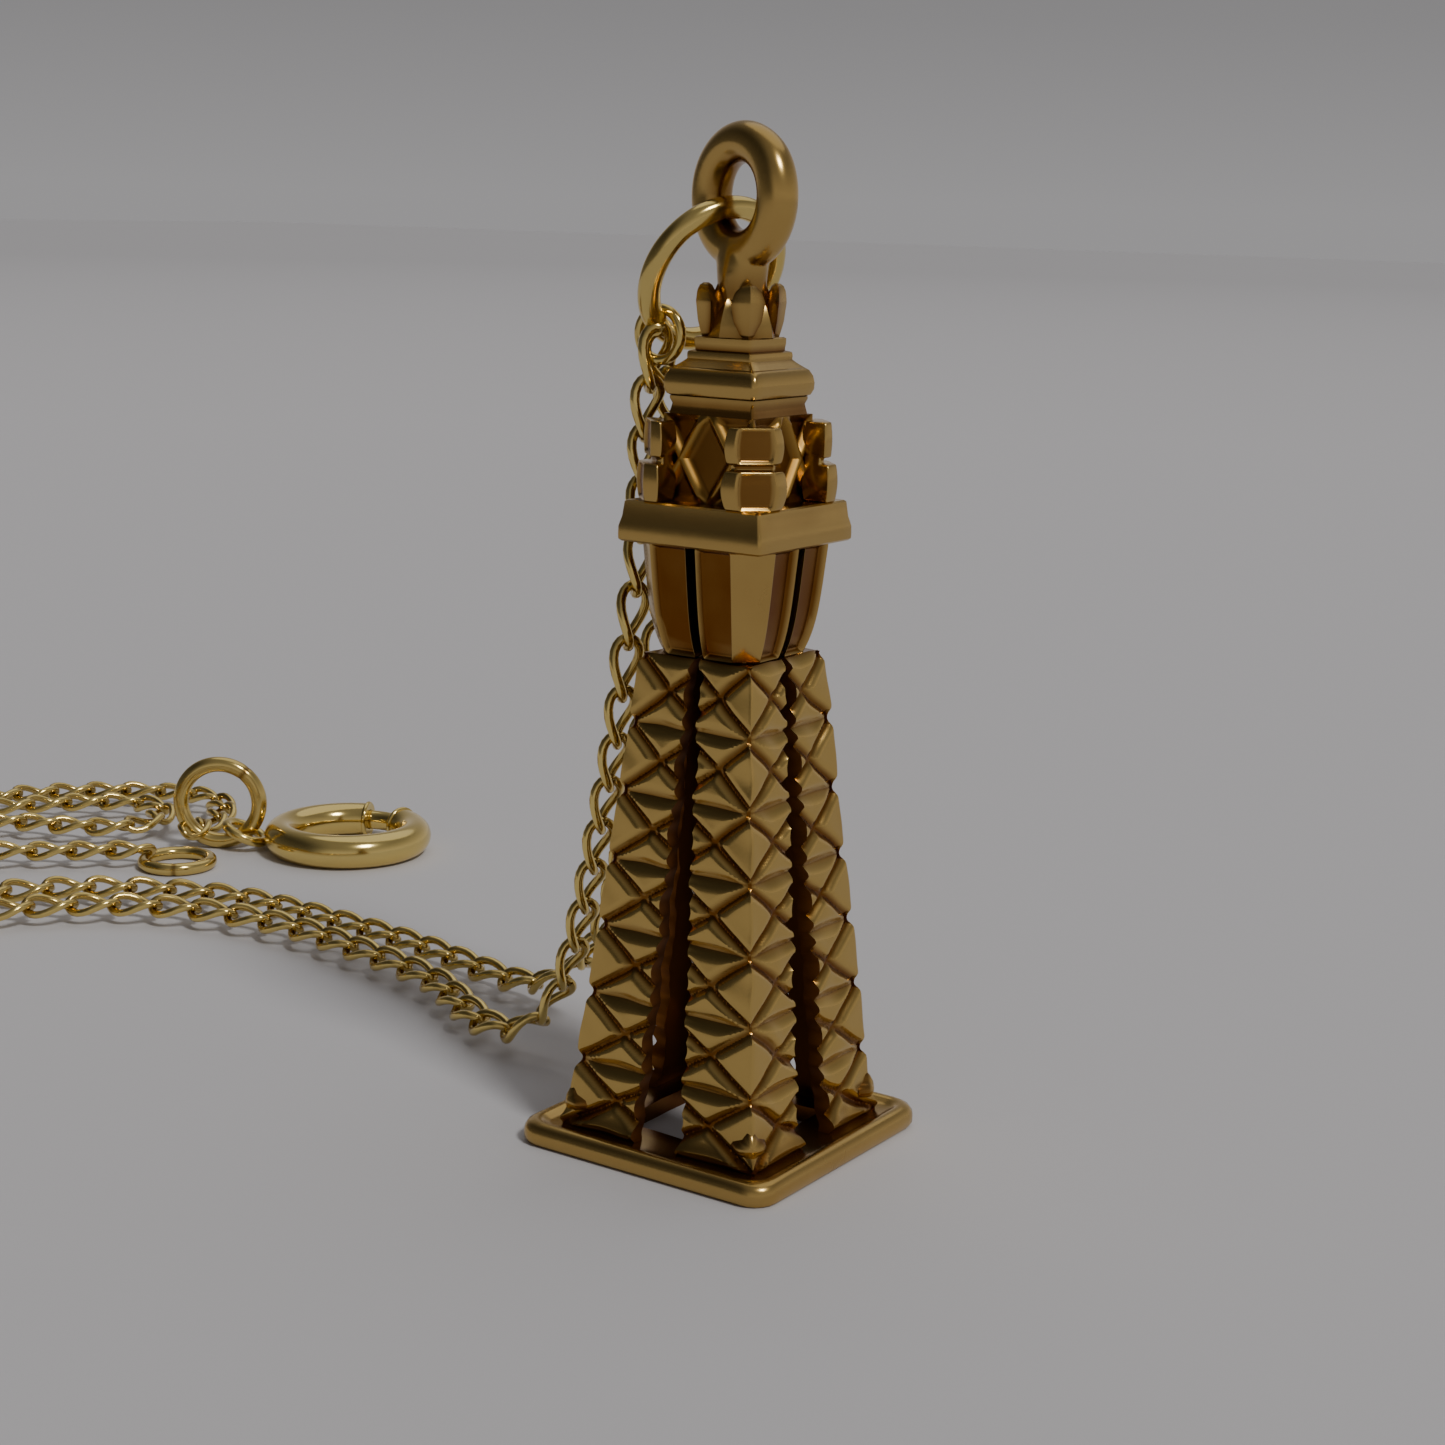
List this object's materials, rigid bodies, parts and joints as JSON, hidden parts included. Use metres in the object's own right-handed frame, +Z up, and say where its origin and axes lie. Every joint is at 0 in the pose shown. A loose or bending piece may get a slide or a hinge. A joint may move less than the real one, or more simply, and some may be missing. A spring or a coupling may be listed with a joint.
{
  "type": "lattice tower charm on a chain",
  "caption": "Miniature lattice tower charm on a square base plate, with a bail, a jump ring and a fine curb chain that ends in a bolt ring clasp.",
  "frame": {"origin": "centre of the base plate's underside", "axes": "+Z up along the tower to the bail; the tower's four faces look along +X, -X, +Y and -Y; the chain lies off towards -X"},
  "size_m": [0.0478, 0.0301, 0.0254],
  "materials": {
    "satin_gold": "satin 9 carat gold, edges worn bright",
    "cut_gold": "satin 9 carat gold, cut facets with brown patina in the grooves",
    "recess_gold": "unpolished amber gold in the recesses",
    "chain_gold": "polished yellow 9 carat gold",
    "clasp_gold": "polished yellow 9 carat gold",
    "spring_steel": "drawn spring wire"
  },
  "bodies": {
    "root": {"base_plate": "satin_gold", "leg_front": "cut_gold", "leg_right": "cut_gold", "leg_back": "cut_gold", "leg_left": "cut_gold", "bracket_front": "satin_gold", "bracket_right": "satin_gold", "bracket_back": "satin_gold", "bracket_left": "satin_gold", "gallery_slab": "satin_gold", "lantern_core": "recess_gold", "lantern_braces": "recess_gold", "pinnacle_front": "satin_gold", "pinnacle_right": "satin_gold", "pinnacle_back": "satin_gold", "pinnacle_left": "satin_gold", "frieze": "recess_gold", "cornice": "satin_gold", "roof_steps": "satin_gold", "crown_core": "recess_gold", "crown_petals": "satin_gold", "bail_stem": "satin_gold", "bail_ring": "satin_gold", "chain_strand_a": "chain_gold", "chain_strand_b": "chain_gold", "chain_coil": "chain_gold", "chain_tail_a": "chain_gold", "chain_tail_b": "chain_gold"},
    "jump_ring": {"jump_ring": "chain_gold", "chain_centre_link": "chain_gold"},
    "connector_ring": {"connector_ring": "chain_gold"},
    "end_ring": {"end_ring": "chain_gold"},
    "clasp": {"clasp_eye": "clasp_gold", "clasp_body": "clasp_gold", "clasp_spring": "spring_steel"},
    "clasp_bolt": {"clasp_bolt": "clasp_gold"}
  },
  "joints": [
    {"name": "jump_ring_swing", "type": "hinge", "parent": "root", "child": "jump_ring", "pos_m": [0, 0, 0.02359], "axis": [0.309, 0.9511, 0], "range_deg": [0, 45]},
    {"name": "connector_ring_tilt", "type": "hinge", "parent": "root", "child": "connector_ring", "pos_m": [-0.03014, 0.01183, 0.00028], "axis": [-0.831, -0.5563, 0], "range_deg": [-15, 15]},
    {"name": "end_ring_lift", "type": "hinge", "parent": "root", "child": "end_ring", "pos_m": [-0.03032, 0.0083, 0.00022], "axis": [0.6097, -0.7926, 0], "range_deg": [0, 60]},
    {"name": "clasp_turn", "type": "hinge", "parent": "root", "child": "clasp", "pos_m": [-0.02939, 0.01233, 0.0006], "axis": [0, 0, 1], "range_deg": [-12, 12]},
    {"name": "clasp_bolt_slide", "type": "hinge", "parent": "clasp", "child": "clasp_bolt", "pos_m": [-0.0263, 0.0144, 0.0006], "axis": [0, 0, 1], "range_deg": [0, 33], "stiffness_Nm_per_rad": 0.001, "springref_deg": -20.05, "deforming": ["clasp_spring"]}
  ]
}
